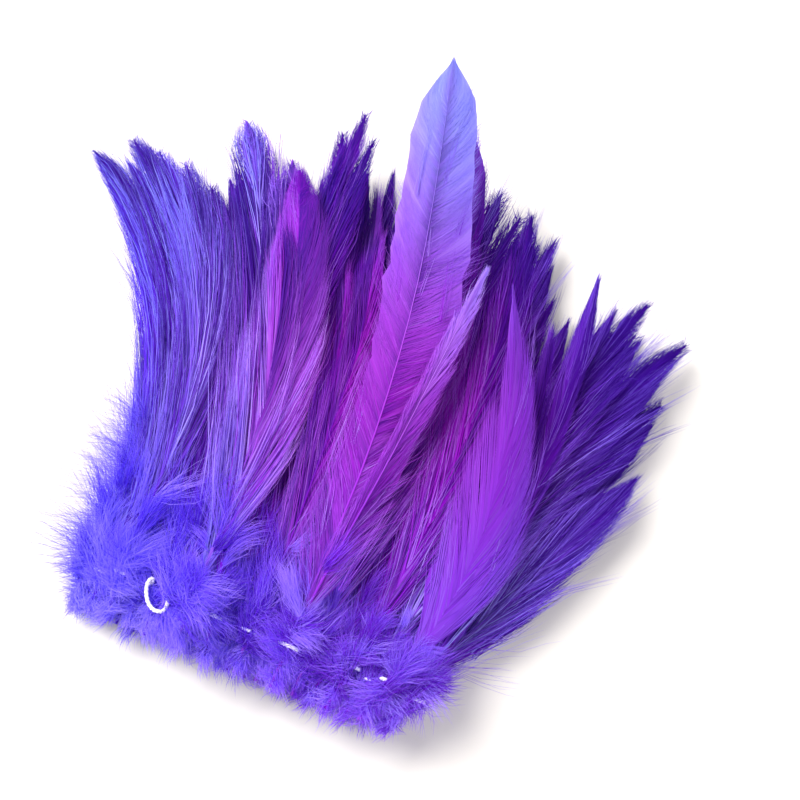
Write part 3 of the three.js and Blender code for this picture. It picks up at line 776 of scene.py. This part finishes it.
def feather_material(name, roughness, see_through, dye_stops, pale_stops, pale_and_highlight_in_middle):
    material, tree = new_material(name)
    factor = {attribute: add_node(tree, "ShaderNodeAttribute",
                                  {"attribute_name": attribute}).outputs["Fac"]
              for attribute in FACTORS}
    deep = streaked_depth(tree, factor)
    coordinates = add_node(tree, "ShaderNodeTexCoord")
    dark = blend(tree, DEEP_DYE_AND_SHADE, DEEP_DYE_AND_SHADE_IN_MIDDLE,
                 near_middle(tree, coordinates, DARK_REACH, 1.0))
    light = blend(tree, across_the_bunch(tree, coordinates, pale_stops), pale_and_highlight_in_middle,
                  near_middle(tree, coordinates, PALE_REACH, 1.0))
    colour = blend(tree, across_the_bunch(tree, coordinates, dye_stops), ROSE_DYE,
                   near_middle(tree, coordinates, ROSE_REACH, MOST_ROSE))
    # The deep dye also paints shade and the pale dye highlights, as the fibres' numbers ask.
    for other, amount in ((ROSE_DYE, factor["rose"]), (dark, deep), (light, factor["pale"])):
        colour = blend(tree, colour, other, amount)
    # Keratin's IOR is about 1.54. The gloss is kept low, because thousands of ribbons share it.
    surface = add_node(tree, "ShaderNodeBsdfPrincipled",
                       inputs={"Roughness": roughness, "IOR": 1.54, "Specular IOR Level": 0.04},
                       links={"Base Color": colour})
    glow = add_node(tree, "ShaderNodeBsdfTranslucent", links={"Color": colour})
    mixed = add_node(tree, "ShaderNodeMixShader", inputs={"Fac": see_through},
                     links={1: surface.outputs["BSDF"], 2: glow.outputs["BSDF"]})
    add_node(tree, "ShaderNodeOutputMaterial", links={"Surface": mixed.outputs["Shader"]})
    return material


FEATHER_MATERIALS = (
    # Barbs, keratin from a hot dye bath: a silky gloss along the fibres, and a glow where thin.
    feather_material("dyed_keratin_vane", 0.42, 0.35, VANE_DYE_STOPS, PALE_VANE_STOPS, "#c888fa"),
    # Down, the same keratin in far finer fibres: matt and pale, with light all through it.
    feather_material("dyed_keratin_down", 0.6, 0.45, DOWN_DYE_STOPS, PALE_DOWN_STOPS, "#b87cff"),
    # The quill's hard, smooth skin: the glossiest part, and hardly see-through.
    feather_material("dyed_keratin_quill", 0.35, 0.1, VANE_DYE_STOPS, PALE_VANE_STOPS, "#d09cff"),
)
print("feather materials:", [material.name for material in FEATHER_MATERIALS])

# %% [markdown]
# Arrays become one mesh per feather. Its parts are the quill, the two webs, the barbs on both
# sides and the down, and each part brings its own material number. Handing whole arrays to the
# mesh is much faster than adding faces one by one.

# %% From arrays to a piece
VANE, DOWN, QUILL = range(3)


def build_piece(name, parts):
    vertices = np.concatenate([part["vertices"] for _, part in parts])
    starts = np.cumsum([0] + [len(part["vertices"]) for _, part in parts])
    # Corners are numbered within a part, so each part's are moved past those before it.
    corners, sizes, numbers = [], [], []
    for (material, part), start in zip(parts, starts):
        for kind, size in (("quads", 4), ("triangles", 3)):
            corners.append((part[kind] + start).ravel())
            sizes.append(np.full(len(part[kind]), size))
            numbers.append(np.full(len(part[kind]), material))
    corners, sizes, numbers = (
        np.concatenate(a).astype(np.int32) for a in (corners, sizes, numbers))
    loop_start = np.concatenate([[0], np.cumsum(sizes)[:-1]]).astype(np.int32)
    mesh = bpy.data.meshes.new(name)
    mesh.vertices.add(len(vertices))
    mesh.loops.add(len(corners))
    mesh.polygons.add(len(sizes))
    mesh.vertices.foreach_set("co", vertices.astype(np.float32).ravel())
    mesh.loops.foreach_set("vertex_index", corners)
    mesh.polygons.foreach_set("loop_start", loop_start)
    mesh.polygons.foreach_set("material_index", numbers)
    mesh.polygons.foreach_set("use_smooth", np.ones(len(sizes), bool))
    for factor in FACTORS:
        values = [np.broadcast_to(part[factor], len(part["vertices"])) for _, part in parts]
        layer = mesh.attributes.new(factor, "FLOAT", "POINT")
        layer.data.foreach_set("value", np.concatenate(values).astype(np.float32))
    for material in FEATHER_MATERIALS:
        mesh.materials.append(material)
    mesh.validate()
    mesh.update()
    piece = add_object(name, mesh)
    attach(piece, "root")
    return piece, int((sizes - 2).sum())


print("numbers that each point brings:", len(FACTORS))

# %% [markdown]
# A real bunch holds several feathers in every stitch. Most modelled feathers are therefore joined
# by slimmer ones, up to four, that start at the same place, turn off a little and end sooner.
# Such a neighbour borrows the line of its host, which keeps it clear of the layer below.

# %% A neighbour from the same stitch
LIFTS_OVER = 20 * MM


class Neighbour(FeatherLine):
    def __init__(self, host, turn, shorter, slimmer, lift):
        self.along = host.along * shorter
        self.length = host.length * shorter
        self.butt = host.butt * shorter
        rows = host.look_up(host.rows, self.along)
        rows[:, 3:] = host.rows[:, 3:]
        side = unit(np.stack([host.tangent[:, 1], -host.tangent[:, 0]], -1))
        # Below the string it stays with its host, and above it goes its own way.
        away = np.maximum(self.along, 0)
        aside = np.sin(turn) * away * (0.4 + 0.6 * away / self.length)
        rows[:, :2] += side * aside[:, None]
        rows[:, 2] += lift * MM * np.clip(away / LIFTS_OVER, 0, 1)
        rows[:, HALF_WIDTH] *= slimmer
        self.rows = rows
        self.tangent = unit(np.gradient(rows[:, :3], self.along, axis=0))


near = Neighbour(lines[longest], turn=0.1, shorter=0.9, slimmer=0.6, lift=0)
print("a neighbour of the longest feather:", round(near.length / MM, 1), "mm")

# %% [markdown]
# No two feathers are alike, but they come in families: smooth broad ones, shaggy ones at the left,
# dark frayed ones, loose ones at the right, and dark rosy ones inside the bunch, whose deep dye is
# partly painted shade. A style is a set of numbers, and a family or a feather says only what it
# changes. Several values run from the string to the tip. In rough, shade and spread the pair is
# (left side, right side); shade is painted shade on that side, and painted light below zero.
# Lengths are in mm: width, sweep (how far a barb runs on), brush (soft width at the tip), tip_zone,
# fringe and past_tip.

# %% Families of feathers
def style_of(**changes):
    plain = dict(barbs=380, width=0.16, sweep=22, loose_to=0.45, stray=0.08, ragged=0.05,
                 past_tip=2.5, fringe=3, tip_zone=9, brush=1.4, blunt=0.4, web=0.7, streaks=1.0,
                 rough=(1, 1), deep=(0.0, 0.2, 0.35), pale=0.0, rose=0.0, quill_rise=0, wisps=26,
                 down=1.0, joined=0, turns=(-0.09, 0.09), shade=(0, 0), spread=(1, 1), midrib=0,
                 gather=(0.1, 0.7), joined_length=(0.78, 0.97), joined_width=(0.5, 0.8))
    return {**plain, **changes}


# Lower layers get deeper dye, which is painted shade for the shadow of the layers above.
LAYER_STYLES = {
    "bottom": style_of(barbs=140, width=0.25, deep=(0.3, 0.7, 0.8), wisps=12),
    "lower": style_of(barbs=140, width=0.25, deep=(0.3, 0.7, 0.8), wisps=14),
    "middle": style_of(barbs=240, width=0.19, deep=(0.2, 0.6, 0.75), streaks=(1.0, 0.6), joined=1),
    "top": style_of(joined=2),
}
SMOOTH = dict(streaks=(1.5, 0.9, 0.3, 0.3), ragged=0.03, web=0.85, stray=0.03, loose_to=0.35,
              barbs=520, quill_rise=0.25, wisps=12, down=0.5)
# The swath's deep dye towards its tips is painted shade.
SWATH = dict(streaks=1.9, ragged=0.07, stray=0.12, loose_to=1.0, brush=2.7, blunt=0.9,
             past_tip=0.5, fringe=9, tip_zone=14, sweep=(44, 40, 32), web=(0.75, 0.75, 0.7, 0.4),
             deep=(0.3, 0.35, 0.5, 0.98))
DARK = dict(deep=(0.05, 0.4, 0.75, 0.85), brush=3.0, blunt=0.7, fringe=8, past_tip=2, tip_zone=12,
            sweep=26, web=(0.7, 0.7, 0.5), streaks=(1.2, 0.8, 0.6), joined=3)
RIGHT = dict(DARK, stray=0.15, loose_to=0.8, wisps=34, deep=(0.0, 0.0, 0.65, 0.95),
             pale=(0.22, 0.24, 0, 0), streaks=(2.2, 2.0, 0.8, 0.6))
INSIDE = dict(down=0.75, rose=0.3, streaks=(1.4, 0.4), pale=(0.45, 0.1, 0, 0),
              deep=(0.0, 0.4, 0.8, 0.85))
print("barbs on one side of a plain feather:", style_of()["barbs"])

# %% [markdown]
# The feathers that a viewer can tell apart get styles of their own, matched one by one: the tall
# one that pales to its tip, the broad glossy one at the right, the magenta one and the shaggy
# swath.

# %% Styles of single feathers
# Their deep, pale and shade values follow how light or dark each part looks, so besides dye they
# hold painted shade in gaps and hollows and painted highlight on lit parts.
FEATHER_STYLES = {
    "centre": dict(
        SMOOTH, pale=(0.3, 0.18, 0.1, 0.12, 0.18, 0.35, 0.7, 1.0, 1.0),
        rose=(0.3, 0.25, 0.05, 0, 0, 0), deep=(0.1, 0.1, 0.1, 0.05, 0, 0), sweep=(16, 12),
        shade=((0, 0.05, 0.1, 0.1, 0, 0), 0), stray=0.04, brush=0.8, tip_zone=2, fringe=0.5,
        past_tip=1, web=(0.9, 0.8, 0.75, 0.93, 0.97), rough=(0.4, 0.8),
        streaks=(1.5, 1.1, 0.6, 0.4, 0.3), down=0.35, ragged=0.05, barbs=900, width=0.13,
        gather=(0.0, 0.35), midrib=(0, 0.15, 0.4, 0.75, 0.4), joined=1, turns=(0.165, 0.17),
        joined_length=(0.66, 0.67), joined_width=(0.15, 0.17),
        spread=((1, 1, 0.92, 0.84, 0.88, 0.96, 1, 1, 1),
                (1, 1, 1.05, 1.25, 1.5, 1.35, 1.15, 1.05, 1))),
    "centre_under": dict(
        INSIDE, deep=(0.0, 0.7, 0.7, 0.5, 0.0), pale=(0.4, 0, 0, 0, 0.35), brush=2.0, blunt=0.7,
        spread=(1, (1, 1, 1, 1.4, 2.0)), turns=(-0.05, 0.03)),
    "right_broad": dict(
        SMOOTH, pale=(0.25, 0.1, 0.1, 0.12, 0.25), deep=0.0, rose=0.03, sweep=(34, 24), web=0.97,
        loose_to=0.15, streaks=(0.4, 0.2, 0.12), gather=(0, 0.3), quill_rise=-0.1, barbs=760,
        joined=0, width=0.2, shade=(0, (0, 0, 0.1, 0.2, 0.3)), wisps=6,
        spread=((1, 1, 1.0, 0.75, 0.3, 0.1, 0.1, 0.2, 0.3),
                (1, 1, 0.85, 0.8, 0.8, 0.55, 0.35, 0.35, 0.4))),
    "magenta": dict(
        SMOOTH, rose=(0.1, 0.25, 0.4, 0.45, 0.2), deep=(0.0, 0.1, 0.25, 0.3, 0.4), loose_to=0.5,
        pale=(0.35, 0.45, 0.3, 0.22, 0.05, 0), web=(0.85, 0.85, 0.9, 0.85, 0.4),
        sweep=(36, 32, 26), streaks=(2.2, 1.6, 0.4, 0.25, 0.3), rough=(2.6, 1), barbs=700,
        joined=1, turns=(-0.05, -0.03), wisps=6, brush=2.2, blunt=0.8, tip_zone=12, fringe=8,
        past_tip=1.5, down=1.0, spread=((1, 1, 0.85, 0.7, 0.8), 1),
        shade=((0, -0.1, -0.3, -0.35, 0), (0, 0.1, 0.4, 0.5, 0.15))),
    "middle_slim": dict(
        SMOOTH, deep=(0.0, 0.35, 0.7, 0.6, 0.4), rose=0.3, pale=(0.4, 0, 0, 0.3), down=0.9,
        streaks=(1.0, 0.5, 0.3), brush=2.4, blunt=0.8, past_tip=8, tip_zone=14,
        shade=(0.3, (0, -0.3, -0.7))),
    "right_slim": dict(
        SMOOTH, pale=(0.2, 0, 0.0, 0.25), deep=(0.1, 0.5, 0.8, 0.3), joined=1,
        shade=((0, 0, -0.4), (0, 0, 0.4))),
    "middle_tall": dict(DARK, turns=(-0.06, 0.05), joined=4),
    "middle_short": dict(
        DARK, down=1.4, rose=0.25, deep=(0.1, 0.45, 0.9, 0.95), turns=(-0.03, 0.09),
        streaks=(1.2, 0.5, 0.5)),
    "left_edge": dict(SWATH, brush=1.3, turns=(0.0, 0.1), shade=(-0.1, (0.3, 0.6, 0.6, 0.4))),
    "left_second": dict(SWATH, turns=(-0.02, 0.1), fringe=6),
    "left_low": dict(
        SWATH, pale=(0.1, 0.3, 0.35, 0.1), shade=((0, -0.1, -0.3, 0), (0, 0.3, 0.4, 0.3))),
    "left_inner": dict(SWATH, pale=(0.1, 0.1, 0.25, 0), deep=(0.1, 0, 0, 0.9)),
    "left_short": dict(SWATH, deep=(0.15, 0.65, 0.95, 0.95), streaks=0.9, pale=0.0, wisps=16),
    "left_tall": dict(
        SWATH, pale=(0.35, 0.4, 0.4, 0.1, 0, 0, 0.5, 0.7, 0.3), turns=(0.0, 0.1),
        spread=((1, 0.8, 0.8, 1, 1), 1), deep=(0, 0, 0, 0.3, 0.6, 0.7, 0.2, 0.0, 0.2),
        shade=((0, 0, 0.4, 0.5, 0.6, 0.5, 0, -0.1, 0), (0, 0, 0, 0.2, 0.4, 0.3, 0.3, 0.3, 0.1))),
    "shoulder_low": dict(
        DARK, rose=(0.25, 0.15, 0.1, 0), spread=(1, (1, 1, 1, 0.8, 0.6)), turns=(-0.09, 0.0)),
    "shoulder_middle": dict(
        DARK, rose=(0.2, 0.15, 0.15, 0), turns=(-0.12, 0.0),
        shade=((0, -0.3, -0.6, -0.5, 0), (0, 0, 0, 0.1, 0.1))),
    "shoulder_high": dict(
        DARK, rose=(0.3, 0.35, 0.2, 0), turns=(-0.03, 0.12), joined=4, fringe=6, blunt=1.0,
        spread=((1, 1, 1, 1.1, 1.3), (1, 1, 1, 1.2, 1.5))),
    "lower_right": dict(RIGHT, brush=0.8, turns=(-0.2, -0.05)),
    "right_low_tip": dict(RIGHT, turns=(-0.03, 0.08)),
    "right_far_tip": dict(RIGHT, turns=(-0.14, -0.03)),
    "right_upper_tip": dict(RIGHT),
    # A number stands for the feathers that have it in the layers under the top one.
    "01": dict(turns=(0.0, 0.1)),
    "09": dict(turns=(-0.1, 0.1)),
    "17": dict(turns=(-0.12, -0.02)),
    "18": dict(turns=(-0.12, -0.02)),
    **{f"{number:02}": INSIDE for number in range(7, 14) if number != 9},
}
print("feathers with a style of their own:", len(FEATHER_STYLES))

# %% [markdown]
# A feather's down is planned along its quill: some above the string, short butt down below it,
# and some that hides the string. Down is full at the left of the bunch and thin at the right. The
# outermost feathers also get a haze, and the tall middle one gets three pale tufts at its foot.

# %% Down and wisps of one feather
LEFT_FEATHERS = (
    "top_feather_left_edge", "bottom_feather_01", "lower_feather_01", "middle_feather_01")
RIGHT_FEATHERS = ("top_feather_lower_right", "bottom_feather_09", "middle_feather_18")
FLUFF_PLACES, FLUFF_AMOUNTS = (-50, -15, 5), (1.0, 0.8, 0.45)  # mm from left to right


def tuft_parts(name, line, style, amount, rng):
    """Each row of the plan is a kind, a number, a stretch of quill, a direction and a lean."""
    foot = line.at(np.zeros(1))["centre"][0, 0] / MM
    fluffy = np.interp(foot, FLUFF_PLACES, FLUFF_AMOUNTS)
    plan = [
        ("above", 8 * amount * style["down"], (2 * MM, 24 * fluffy * MM), False, 0.0),
        ("below", 15 * amount, (-9 * MM, 0 * MM), True, 0.0),
        ("over", 19 * amount, (-3 * MM, 5 * MM), False, 0.0),
        ("wisp", style["wisps"], (0.1 * line.length, 0.82 * line.length), False, 0.0),
    ]
    if name in LEFT_FEATHERS:
        plan.append(("haze", 44 * amount, (0 * MM, 40 * MM), False, 1.0))
    if name == "top_feather_centre":
        plan.append(("pale tuft", 3, (6 * MM, 8 * MM), False, 0.77))
    if name in RIGHT_FEATHERS:
        plan.append(("haze", 8 * amount, (2 * MM, 30 * MM), False, -0.1))
    return [(VANE if kind == "wisp" else DOWN,
             tufts(line, TUFT_KINDS[kind], int(np.ceil(number)), place, rng, backward, lean,
                   fluffy if kind == "above" else 1.0, style["deep"]))
            for kind, number, place, backward, lean in plan]


print("feathers with a haze:", len(LEFT_FEATHERS + RIGHT_FEATHERS))

# %% [markdown]
# Now every feather is dressed: its own vane, its down, and the neighbours from its stitch. Each
# feather has its own seed, so a change to one leaves all the others as they were. Lower layers
# hardly show, so they get less of everything.

# %% Dress every feather
FIRST_SEED = 100
TUFT_AMOUNT = {"top": 1.0, "middle": 0.9, "lower": 0.5, "bottom": 0.4}


def vane_parts(line, style, rng):
    parts = [(QUILL, quill_rod(line, style))]
    for side in (-1, 1):
        parts.append((VANE, vane_side(line, side, style, rng)))
        parts.append((VANE, web_side(line, side, style, rng)))
    return parts


def neighbours(line, style, number, rng):
    """Slimmer and looser than their host, with half its barbs and a deeper dye."""
    parts = []
    for _ in range(number):
        near = Neighbour(line, rng.uniform(*style["turns"]), rng.uniform(*style["joined_length"]),
                         rng.uniform(*style["joined_width"]), rng.uniform(-0.4, 0.6))
        deeper = np.array(style["deep"]) + rng.uniform(-0.1, 0.3)
        changes = dict(deep=deeper, barbs=style["barbs"] // 2,
                       width=np.array(style["width"]) * 1.3, web=0.5, loose_to=1.0,
                       brush=max(1.8, style["brush"]), tip_zone=max(9, style["tip_zone"]))
        parts += vane_parts(near, {**style, **changes}, rng)
    return parts


triangles = 0
for number, (name, line) in enumerate(sorted(lines.items())):
    rng = np.random.default_rng(FIRST_SEED + number)
    layer, own_name = name.split("_feather_")
    style = {**LAYER_STYLES[layer], **FEATHER_STYLES.get(own_name, {})}
    parts = vane_parts(line, style, rng)
    parts += tuft_parts(name, line, style, TUFT_AMOUNT[layer], rng)
    parts += neighbours(line, style, style["joined"], rng)
    piece, made = build_piece(f"{name}_dressed", parts)
    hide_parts(name)
    triangles += made
print("feather pieces:", len(lines), "triangles:", triangles)

# %% [markdown]
# Three plies, each a thin tube, wind round the thread's line. That is how sewing cotton is made,
# and it gives the small slanting ridges that a stitch shows. A bump could fake the ridges, but
# not the notched outline of the slack stitch against the down.

# %% Twist three plies
PLIES = 3
PLY_SIDES = 5
PLY_RADIUS = 0.29 * MM
TWIST_RADIUS = 0.24 * MM
TWIST_PITCH = 3.4 * MM
PLY_STEP = 0.75 * MM
ROUNDING = 7  # passes of smoothing, which turn the corners of the stitches into bends


def ply(phase):
    rings = int(walked[-1] / PLY_STEP)
    at = np.linspace(0, walked[-1], rings)
    centre = np.column_stack([np.interp(at, walked, c) for c in thread_path.T])
    for _ in range(ROUNDING):
        centre[1:-1] = (centre[:-2] + 2 * centre[1:-1] + centre[2:]) / 4
    # The ply circles the line in the plane across it, once for each pitch.
    forward = unit(np.gradient(centre, axis=0))
    side = np.cross(forward, [0, 0, 1.0])
    side /= np.linalg.norm(side, axis=1)[:, None] + 1e-9
    up = np.cross(side, forward)
    turn = (phase + at / TWIST_PITCH * 2 * np.pi)[:, None]
    centre = centre + (side * np.cos(turn) + up * np.sin(turn)) * TWIST_RADIUS
    angle, along, faces = rolled_sheet(PLY_SIDES, rings)
    ring = np.round(along * (rings - 1)).astype(int)
    offset = side[ring] * np.cos(angle)[:, None] + up[ring] * np.sin(angle)[:, None]
    return centre[ring] + offset * PLY_RADIUS, faces


plies = [ply(i * 2 * np.pi / PLIES) for i in range(PLIES)]
print("plies:", len(plies), "points in each:", len(plies[0][0]))

# %% [markdown]
# The thread is spun cotton, bleached but not polished: white and matt, with a fine fuzz, which
# Sheen gives. Dyed down touches it all along, so patches of it are stained violet. Noise of 6 mm,
# about the length of a stitch, places the patches.

# %% Cotton thread
COTTON_WHITE, COTTON_STAINED = "#e6e2f6", "#8f78e6"
STAIN_SIZE = 6.25 * MM


def cotton_material():
    """Spun and twisted cotton: a soft white line without a highlight, dirtied by the dye."""
    material, tree = new_material("spun_cotton_thread")
    coordinates = add_node(tree, "ShaderNodeTexCoord")
    patches = add_node(tree, "ShaderNodeTexNoise", inputs={"Scale": 1 / STAIN_SIZE, "Detail": 3.0},
                       links={"Vector": coordinates.outputs["Object"]})
    stained = add_node(tree, "ShaderNodeMapRange",
                       inputs={"From Min": 0.45, "From Max": 0.75, "To Max": 0.55},
                       links={"Value": patches.outputs["Fac"]})
    colour = blend(tree, COTTON_WHITE, COTTON_STAINED, stained.outputs["Result"])
    surface = add_node(tree, "ShaderNodeBsdfPrincipled",
                       inputs={"Roughness": 0.8, "Sheen Weight": 0.3},
                       links={"Base Color": colour})
    add_node(tree, "ShaderNodeOutputMaterial", links={"Surface": surface.outputs["BSDF"]})
    return material


thread_mesh = bpy.data.meshes.new("cotton_thread")
thread_starts = np.cumsum([0] + [len(points) for points, _ in plies])
thread_faces = [faces + start for (_, faces), start in zip(plies, thread_starts)]
thread_mesh.from_pydata(
    np.concatenate([points for points, _ in plies]), [], np.concatenate(thread_faces))
thread_mesh.polygons.foreach_set("use_smooth", np.ones(len(thread_mesh.polygons), bool))
thread_mesh.materials.append(cotton_material())
thread = add_object("cotton_thread", thread_mesh)
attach(thread, "root")
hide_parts("sewing_thread")
print("thread:", len(thread_mesh.polygons), "faces")

# %% [markdown]
# The bunch lies on a plain pale floor. The floor is a hair below the lowest feather, because two
# surfaces at one height flicker where they meet.

# %% Floor
FLOOR_REACH = 2  # metres from the middle to each side
FLOOR_DROP = 0.1 * MM


def floor_material():
    """Uncoated paper: matt and nearly white, so that shadows on it stay soft and pale."""
    material, tree = new_material("matt_paper_floor")
    surface = add_node(tree, "ShaderNodeBsdfPrincipled",
                       inputs={"Base Color": linear("#dedbd6"), "Roughness": 0.9})
    add_node(tree, "ShaderNodeOutputMaterial", links={"Surface": surface.outputs["BSDF"]})
    return material


floor_mesh = bmesh.new()
bmesh.ops.create_grid(floor_mesh, x_segments=1, y_segments=1, size=FLOOR_REACH)
bmesh.ops.translate(floor_mesh, verts=floor_mesh.verts[:], vec=(0, 0, -FLOOR_DROP))
floor_data = bpy.data.meshes.new("floor")
floor_mesh.to_mesh(floor_data)
floor_mesh.free()
floor_data.materials.append(floor_material())
floor = add_object("floor", floor_data)
print("floor:", 2 * FLOOR_REACH, "m across")

# %% [markdown]
# Soft light comes from a large window high on the left, with a weaker fill from the right. Area
# lights give soft shadows, and a bright room all round lifts the dark gaps between feathers.

# %% Light
WINDOW = dict(place=(-0.35, 0.25, 0.55), size=0.45, power=9.2, colour="#fffdf8")
FILL = dict(place=(0.5, -0.3, 0.45), size=0.6, power=2.8, colour="#fbf9ff")
ROOM_COLOUR, ROOM_STRENGTH = "#efedf3", 0.62


def area_light(name, place, size, power, colour):
    """A square light, in metres and watts, that faces the middle of the bunch."""
    data = bpy.data.lights.new(name, "AREA")
    data.shape = "SQUARE"
    data.size = size
    data.energy = power
    data.color = linear(colour)[:3]
    light = add_object(name, data)
    light.location = place
    light.rotation_euler = Vector(place).to_track_quat("Z", "Y").to_euler()


area_light("window", **WINDOW)
area_light("fill", **FILL)
world = bpy.data.worlds.new("soft_room")
world.use_nodes = True
background = world.node_tree.nodes["Background"]
background.inputs["Color"].default_value = linear(ROOM_COLOUR)
background.inputs["Strength"].default_value = ROOM_STRENGTH
bpy.context.scene.world = world
bpy.context.scene.view_settings.view_transform = "Standard"
print("lights:", WINDOW["power"], "and", FILL["power"], "watts")
